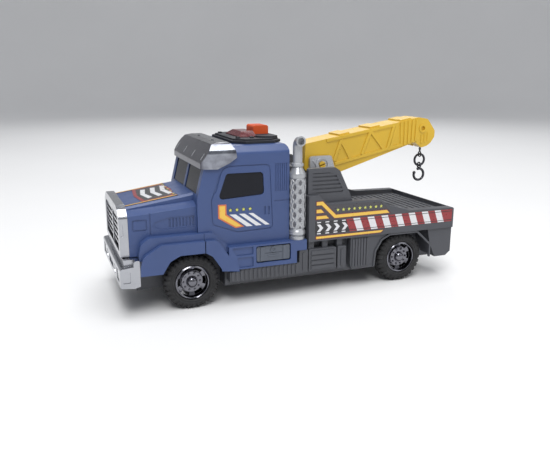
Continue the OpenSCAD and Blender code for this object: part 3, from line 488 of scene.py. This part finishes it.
def bed_sticker(side_name):
    """Bed flank: a warning band, yellow stripes that kink upwards and a row of stars."""
    s = FlankSticker("bed_sticker", side_name)
    front, red_from, rear = -8.6, -37.6, -148.0
    band_low, band_high, slant = 53.2, 64.6, 4
    s.ink([(front, 48.5), (front, 82.4), (-15.7, 82.8), (-20.2, 78.2), (-71.5, 77.6), (-77.2, 72.6),
           (-84, 65.3), (rear, 65.3), (rear, 52.6), (-77.2, 52.6), (-73.4, 48.5)], "sticker_film", 1)
    # Warning band: black with chevrons in front, then red with slanted white blocks
    s.ink([(front, band_low), (front, band_high), (red_from, band_high), (red_from - slant, band_low)],
          "ink_black", 2)
    s.ink([(red_from - slant, band_low), (red_from, band_high), (rear, band_high), (rear, band_low)],
          "ink_red", 2)
    for x in row(-10.2, -7.85, 4):
        s.ink([(x, 61.9), (x - 2.9, 61.9), (x - 5.8, 58.7), (x - 2.9, 55.4), (x, 55.4),
               (x - 2.6, 58.7)], "ink_white", 3)
        for z in (53.45, 63.2):
            s.ink([(x, z), (x, z + 0.9), (x - 3.6, z + 0.9), (x - 3.6, z)], "ink_white", 3)
    pitch, width, lean = 14.0, 6.6, 4.2
    blocks = int((red_from - rear - lean) / pitch)
    for x in row(-44.6, -pitch, blocks):
        s.ink([(x, band_high), (x - lean, band_low), (x - lean - width, band_low),
               (x - width, band_high)], "ink_white", 3)
    line_from, line = red_from - 3, 0.5
    for z in (54.45, 62.6):
        s.ink([(line_from, z), (line_from, z + line), (rear, z + line), (rear, z)], "ink_black", 4)
    # Yellow stripes with a dark red outline
    tip, border = -9.5, 0.7
    stripes = [[(tip, 78.6), (tip, 81.4), (-15.1, 81.6), (-27.8, 69.1), (-77.9, 69.4), (-80.6, 66.6),
                (-26.6, 66.4), (-14.2, 78.5)]]
    stripes += [[(tip, low), (tip, high), (reach, high), (reach - (high - low), low)]
                for low, high, reach in ((71.9, 74.9, -13.6), (66.6, 69.2, -18.6))]
    stripes += [[(tip, 49.5), (tip, 51.4), (-74.9, 51.4), (-72.6, 49.5)]]
    for stripe in stripes:
        s.outlined(stripe, "ink_yellow", "ink_maroon", border, 3)
    for x in row(-29.7, -5.3, 9):
        s.ink(star(x, 73.2, STAR_RADIUS), "ink_lime", 2)
    s.done()


def door_sticker(side_name):
    """Door: a yellow hook shape, a row of stars and three slanted white bars."""
    s = FlankSticker("door_sticker", side_name)
    s.outlined([(73.0, 82.9), (68.4, 82.8), (68.4, 75.2), (54.6, 65.2), (59.4, 65.0), (73.0, 73.6)],
               "ink_yellow", "ink_orange", 1.2, 2)
    for x in row(63.9, -5.6, 4):
        s.outlined(star(x, 78.9, STAR_RADIUS), "ink_lime", "ink_black", 0.25, 2)
    lean = 14.6
    for x, width in zip(row(64.8, -8.1, 3), (5.3, 5.0, 4.0)):
        s.ink([(x, 75.4), (x - width, 75.2), (x - width - lean, 64.4), (x - lean, 64.4)],
              "ink_white", 2)
    s.done()


def bonnet_sticker():
    """Bonnet: two yellow side stripes and a black patch with white chevrons and stars."""
    node, raised = "bonnet_sticker", 0.16
    low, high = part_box(node)
    along = Vector((high.x - low.x, 0, low.z - high.z)).normalized()
    up = Vector((-along.z, 0, along.x))
    nose = Vector((high.x, 0, low.z))

    def place(u, v, height):
        """u is x along the bonnet, v is y and height stands off it, in mm."""
        distance = (u * MM - nose.x) / along.x
        return nose + along * distance + up * (height + raised) * MM + Vector((0, v * MM, 0))

    s = Sticker(node, place)
    half = 30.2
    front, rear = high.x / MM - 0.8, low.x / MM + 0.6
    for sign in (1, -1):
        inside, outside = sign * (half - 2.4), sign * (half - 0.6)
        s.outlined([(front, inside), (front, outside), (rear + 1, outside), (rear + 1, inside)],
                   "ink_yellow", "ink_maroon", 0.6, 2)
    wide = half - 3
    s.ink([(133, 0), (130.5, wide), (rear + 3, wide), (rear, 0), (rear + 3, -wide), (130.5, -wide)],
          "ink_red", 1)
    wide -= 2.6
    s.ink([(130.2, 0), (127.8, wide), (rear + 4.8, wide), (rear + 2.2, 0), (rear + 4.8, -wide),
           (127.8, -wide)], "ink_black", 2)
    for tip in row(127.4, -8.4, 3):
        s.ink([(tip, 0), (tip - 3, 19.5), (tip - 6.8, 17.5), (tip - 3.8, 0), (tip - 6.8, -17.5),
               (tip - 3, -19.5)], "ink_white", 3)
    for y in row(22, -11, 5):
        s.outlined(star(104.2, y, 1.7), "ink_lime", "ink_maroon", 0.3, 3)
    s.done()


# ---------- relief that the frame leaves plain ----------

def stack_guard(side_name):
    """Pierced heat guard round the exhaust muffler: staggered rows of tall raised ovals."""
    low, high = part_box(f"exhaust_{side_name}")
    muffler_y = 48.0
    centre = Vector(((low.x + high.x) / 2 / MM, SIDES[side_name] * muffler_y, 0))
    columns, pitch, rows = 8, 7.8, 5.4
    bottom, radius, thickness = 59.6, 6.25, 0.5
    top = bottom + pitch * rows
    half_wide, half_tall = 1.75, 3.3
    column_reach = 4  # ovals further off than this round the guard can't be the nearest
    rim_height, rim_width, web_height, fade_over = 0.72, 0.28, 0.3, 0.6
    hole_share = 0.72
    steps_up, steps_round = 84, 112

    def nearest(angle, z):
        """How far the point lies from the nearest oval's middle; 1 is on its rim."""
        best = math.inf
        for column, column_angle in enumerate(ring_angles(columns)):
            around = (angle - column_angle + math.pi) % FULL_TURN - math.pi
            across = around * radius
            if abs(across) > column_reach:
                continue
            offset = bottom + pitch * (0.5 if column % 2 else 0.0)
            along = (z - offset + pitch / 2) % pitch - pitch / 2
            best = min(best, math.hypot(across / half_wide, along / half_tall))
        return best

    def net(angle, r, z):
        """How far the guard stands out: a rim round each oval and a low web between them."""
        if r < radius or z <= bottom or z >= top:
            return 0.0
        best = nearest(angle, z)
        rim = math.exp(-((best - 1.0) / rim_width) ** 2)
        fade = min(1.0, (z - bottom) / fade_over, (top - z) / fade_over)
        return fade * (rim_height * rim + (web_height if best > 1 else 0.0))

    def place(r, angle, z):
        return Vector((centre.x + r * math.cos(angle), centre.y + r * math.sin(angle), z)) * MM

    profile = [(radius - thickness, bottom), (radius - thickness, top)]
    profile += [(radius, top - (top - bottom) * i / steps_up) for i in range(steps_up + 1)]
    bm = bmesh.new()
    lathe(bm, profile, steps_round, place, net)
    # Faces inside each oval get guard_shade, a darker paint that is painted shade in the holes
    for face in bm.faces:
        middle = face.calc_center_median() / MM - centre
        inside = nearest(math.atan2(middle.y, middle.x) % FULL_TURN, middle.z) < hole_share
        face.material_index = 1 if inside else 0
    piece(f"exhaust_guard_{side_name}", bm, "truck",
          ["silver_plastic", "guard_shade"], smooth_below=70)


def grille_fins():
    """Thin upright fins that close the grille's opening behind its bars."""
    face_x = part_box("grille")[1].x / MM
    back, front, bottom = face_x - 5.2, face_x - 2.2, 50.8
    pitch, half_thick = 3.05, 0.45
    # Tops of the fins from the middle post outwards; the last ones meet the rounded corner
    tops = [79.3] * 8 + [78.2] * 3 + [75.6]
    bm = bmesh.new()
    for side in (1, -1):
        for k, top in enumerate(tops, 1):
            outline = [(back, bottom), (front, bottom), (front, top), (back, top)]
            prism(bm, outline, lambda u, v, height, y=side * k * pitch: Vector((u, y + height, v)) * MM,
                  -half_thick, half_thick)
    piece("grille_fins", bm, "truck", ["black_chrome"])


def visor_slats():
    """Slats in a row across the visor's leaning front face, one in each of its vents, made bright silver as a
    painted highlight.
    """
    visor = NODES["sun_visor"]
    to_visor = visor.matrix_world.inverted()
    lean = math.radians(35)
    out = Vector((math.cos(lean), 0, math.sin(lean)))
    up = Vector((-math.sin(lean), 0, math.cos(lean)))
    middle_x, middle_z = 84.3, 122.3
    half_wide, half_long, sunk, proud = 0.75, 3.0, 1.1, 0.3
    past_vent, in_front = 1.4, 8
    outline = [(-half_wide, -half_long), (half_wide, -half_long), (half_wide, half_long),
               (-half_wide, half_long)]
    bm = bmesh.new()
    for y in (-43.0, -14.5, 14.5, 43.0):
        middle = Vector((middle_x, y, middle_z))

        def place(u, v, height):
            return (middle + Vector((0, u, 0)) + up * v + out * height) * MM

        # The face's level is found beside the vent, where the visor is whole
        start = place(-past_vent if y > 0 else past_vent, 0, in_front)
        _, spot, _, _ = visor.ray_cast(to_visor @ start, to_visor.to_3x3() @ -out)
        face = (visor.matrix_world @ spot / MM - middle).dot(out)
        prism(bm, outline, place, face - sunk, face + proud)
    # The slats' bright silver is a painted highlight
    piece("visor_slats", bm, "truck", ["silver_plastic"])


def tyre(node, body):
    """Truck tyre: ribbed crown, lugged shoulders and rings on the sidewall."""
    low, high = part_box(node)
    centre = (low + high) / 2 / MM
    radius, half = (high.z - low.z) / 2 / MM, (high.y - low.y) / 2 / MM
    bead = 14.05  # radius where the tyre sits on its rim
    lugs, gap_share, groove = 30, 0.26, 1.1
    shoulder, lug_depth = 5.0, 3
    steps = 240
    side_wall = [(bead, half - 1.6), (bead + 0.5, half - 0.7), (bead + 1.2, half - 0.1),
                 (bead + 1.9, half - 0.1), (bead + 2.2, half - 0.45), (bead + 2.9, half - 0.35),
                 (bead + 3.1, half - 0.02), (bead + 3.7, half), (bead + 4, half - 0.4),
                 (bead + 4.6, half - 0.45), (radius - 2.8, half - 0.8), (radius - 1.7, half - 1.4),
                 (radius - 0.8, half - 2.1), (radius - 0.2, half - 3.0), (radius, half - 3.8)]
    crown = [(radius, half - 4.9), (radius - groove, half - 5.1), (radius - groove, half - 5.6),
             (radius, half - 5.8), (radius, 0.5), (radius - groove, 0.35)]
    left_half = side_wall + crown
    right_half = [(r, -h) for r, h in reversed(left_half)]

    def lug(angle, r, h):
        """Gaps between the lugs on both shoulders, half a pitch apart from one side to the other."""
        if abs(h) < half - shoulder or r < radius - lug_depth:
            return 0.0
        phase = (angle / FULL_TURN * lugs + (0.5 if h > 0 else 0.0)) % 1.0
        return -groove if phase < gap_share else 0.0

    def place(r, angle, h):
        return Vector((centre.x + r * math.sin(angle), centre.y + h,
                       centre.z + r * math.cos(angle))) * MM

    bm = bmesh.new()
    lathe(bm, left_half + right_half, steps, place, lug)
    piece(f"{node}_tread", bm, body, ["tyre_rubber"], [node], smooth_below=40)


def dome(bm, place, u, v, radius, rise, sides=12, levels=3):
    """Closed rivet head standing on the plane height 0."""
    rings = []
    for level in range(levels):
        tilt = math.pi / 2 * level / levels
        reach, up = radius * math.cos(tilt), rise * math.sin(tilt)
        rings.append([bm.verts.new(place(u + reach * math.cos(a), v + reach * math.sin(a), up))
                      for a in ring_angles(sides)])
    tip = bm.verts.new(place(u, v, rise))
    bm.faces.new(rings[0][::-1])
    for lower, upper in zip(rings, rings[1:]):
        join_rings(bm, lower, upper)
    for k, vertex in enumerate(rings[-1]):
        bm.faces.new((vertex, rings[-1][(k + 1) % sides], tip))


BOOM_RISE = math.radians(17)  # the boom's slope at rest
BOOM_Y = 12.0                 # half of its width


def boom_place(side):
    """Points on a flank of the boom: u runs along it from its pivot and v across it, both in mm."""
    pivot = Vector(JOINTS["boom_lift"]["pos_m"])

    def place(u, v, height):
        x = u * math.cos(BOOM_RISE) + v * math.sin(BOOM_RISE)
        z = -u * math.sin(BOOM_RISE) + v * math.cos(BOOM_RISE)
        return pivot + Vector((x, side * (BOOM_Y + height), z)) * MM

    return place


def boom_rivets():
    """Rivet heads beside the lattice bars of the boom."""
    beside, radius, rise = 2.3, 0.55, 0.4
    # Ends of the bars and the number of gaps that the rivets make along each
    lines = [((-26, 14), (-30.5, -6), 5), ((-42.6, -6), (-57, 12), 6), ((-57, 12), (-66, -9), 6),
             ((-14, -2), (-26, 14), 5)]
    bm = bmesh.new()
    for side in (1, -1):
        place = boom_place(side)
        for start, end, gaps in lines:
            a, b = Vector(start), Vector(end)
            across = (b - a).orthogonal().normalized() * beside
            for k in range(1, gaps):
                point = a.lerp(b, k / gaps) + across
                dome(bm, place, point.x, point.y, radius, rise)
    piece("boom_rivets", bm, "crane_boom", ["yellow_plastic"], smooth_below=60)


def tube(bm, path, radius, sides=12):
    """Closed round tube along a path of points, all in mm."""
    rings = []
    for i, point in enumerate(path):
        ahead = (path[min(i + 1, len(path) - 1)] - path[max(i - 1, 0)]).normalized()
        across = ahead.cross(Vector((0, 0, 1))).normalized()
        up = across.cross(ahead)
        rings.append([bm.verts.new((point + (across * math.cos(a) + up * math.sin(a)) * radius) * MM)
                      for a in ring_angles(sides)])
    for here, there in zip(rings, rings[1:]):
        join_rings(bm, here, there)
    bm.faces.new(rings[0][::-1])
    bm.faces.new(rings[-1])


def coil_spring():
    """The button's spring, a coil of round wire that fills the CAD spring's box."""
    low, high = (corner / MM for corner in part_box("button_spring"))
    middle = (low + high) / 2
    wire_radius, turns, steps = 0.5, 6, 40
    reach = (high.x - low.x) / 2 - wire_radius
    bottom, top = low.z + wire_radius, high.z - wire_radius
    count = turns * steps
    path = [Vector((middle.x + reach * math.cos(FULL_TURN * i / steps),
                    middle.y + reach * math.sin(FULL_TURN * i / steps),
                    bottom + (top - bottom) * i / count)) for i in range(count + 1)]
    bm = bmesh.new()
    tube(bm, path, wire_radius)
    obj = piece("button_coil", bm, "truck", ["steel"], ["button_spring"], smooth_below=60)
    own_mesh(obj)


def twisted_cord():
    """One loop of cord round the nose bar and the ring, its two sides twisted together between them."""
    cord_radius, apart = 0.58, 0.62
    eye_top, eye_bottom = 1.9, 2.3
    neck = 1.0  # from each eye to where the twist starts
    twist = math.radians(90 + 360)
    eye_steps, neck_steps = 12, 24
    x, _, top = (c / MM for c in JOINTS["cord_swing"]["pos_m"])
    eye_middle = 3.1  # from the lowest point of the CAD cord up to the middle of its lower eye
    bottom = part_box("cord")[0].z / MM + eye_middle
    neck_top, neck_bottom = top - eye_top - neck, bottom + eye_bottom + neck

    # One side of the loop from top to bottom, as (z, distance from the cord's axis)
    path = []
    for k in range(eye_steps + 1):
        angle = math.radians(150 * k / eye_steps)
        path.append((top + eye_top * math.cos(angle), max(eye_top * math.sin(angle), 0.0)))
    for k in range(neck_steps + 1):
        path.append((neck_top + (neck_bottom - neck_top) * k / neck_steps, apart))
    for k in range(eye_steps + 1):
        angle = math.radians(30 + 150 * k / eye_steps)
        path.append((bottom + eye_bottom * math.cos(angle), max(eye_bottom * math.sin(angle), 0.0)))

    points = []
    for start_angle, side in ((0.0, path), (math.pi, path[::-1])):
        for z, out in side:
            share = min(1.0, max(0.0, (neck_top - z) / (neck_top - neck_bottom)))
            angle = start_angle + twist * share
            points.append((x + out * math.cos(angle), out * math.sin(angle), z))
    curve = bpy.data.curves.new("twisted_cord", "CURVE")
    curve.dimensions = "3D"
    curve.bevel_depth = cord_radius * MM
    curve.bevel_resolution = 3
    spline = curve.splines.new("POLY")
    spline.points.add(len(points) - 1)
    for target, point in zip(spline.points, points):
        target.co = (*(Vector(point) * MM), 1.0)
    spline.use_cyclic_u = True
    spline.use_smooth = True
    curve.materials.append(FINISHES["black_cord"])
    adopt(place_object("twisted_cord", curve), "hanging_cord", ["cord"])


# ---------- studio, in metres ----------

FLOOR_RADIUS = 2.4
COVE_RADIUS = 1.2
# Soft boxes aimed at the origin: name, place, size and power in watts
LIGHTS = (("key", (0.5, 1.3, 1.7), 0.9, 24), ("fill", (-1.4, 1.0, 1.1), 1.2, 5),
          ("top", (0.0, 0.2, 2.0), 1.4, 26), ("rim", (-0.6, -1.5, 1.2), 1.0, 8))
SKY_COLOUR, SKY_STRENGTH = (0.9, 0.93, 1.0, 1.0), 0.3


def aim(obj, direction):
    """Turns a camera or a light so that it looks along a direction."""
    obj.rotation_euler = Vector(direction).to_track_quat("-Z", "Y").to_euler()


def studio_floor():
    """Pale round floor that curves up into a wall all round."""
    f = Finish("studio_floor")
    tone = f.blend(f.span(f.noise(400), 0.0, 1.0), (0.78, 0.78, 0.78), (0.8, 0.8, 0.8))
    f.done(Base_Color=tone, Roughness=0.75)
    profile = [(1.0, 0.0), (FLOOR_RADIUS, 0.0)]
    profile += [(FLOOR_RADIUS + COVE_RADIUS * math.sin(a), COVE_RADIUS - COVE_RADIUS * math.cos(a))
                for a in map(math.radians, range(10, 91, 10))]
    bm = bmesh.new()
    centre = bm.verts.new((0, 0, 0))
    rings = [[bm.verts.new((r * math.cos(a), r * math.sin(a), z)) for a in ring_angles(72)]
             for r, z in profile]
    for k, vertex in enumerate(rings[0]):
        bm.faces.new((centre, vertex, rings[0][(k + 1) % len(rings[0])]))
    for inner, outer in zip(rings, rings[1:]):
        join_rings(bm, outer, inner)
    place_object("floor", mesh_from("floor", bm, ["studio_floor"]))


def lighting():
    """Soft box lights and a light grey sky."""
    for name, place, size, power in LIGHTS:
        data = bpy.data.lights.new(name, "AREA")
        data.size = size
        data.energy = power
        lamp = place_object(name, data)
        lamp.location = place
        aim(lamp, -Vector(place))
    world = bpy.data.worlds.new("sky")
    world.use_nodes = True
    sky = world.node_tree.nodes["Background"].inputs
    sky["Color"].default_value = SKY_COLOUR
    sky["Strength"].default_value = SKY_STRENGTH
    bpy.context.scene.world = world
    bpy.context.scene.view_settings.view_transform = "Standard"


def camera():
    """Camera low at the truck's front left corner, close enough for a strong perspective."""
    yaw, pitch = math.radians(21.457), math.radians(13.794)
    data = bpy.data.cameras.new("camera")
    data.lens = 40.05
    data.sensor_width = 36
    data.clip_start = 0.01
    obj = place_object("camera", data)
    obj.location = (0.20667, 0.5096, 0.18503)
    level = math.cos(pitch)
    aim(obj, (-math.sin(yaw) * level, -math.cos(yaw) * level, -math.sin(pitch)))
    bpy.context.scene.camera = obj


dress_cad_nodes()
for side_name in SIDES:
    bed_sticker(side_name)
    door_sticker(side_name)
    stack_guard(side_name)
    for end in ("front", "rear"):
        tyre(f"{end}_{side_name}_tyre", f"{end}_wheels")
bonnet_sticker()
boom_rivets()
grille_fins()
visor_slats()
coil_spring()
twisted_cord()
studio_floor()
lighting()
camera()
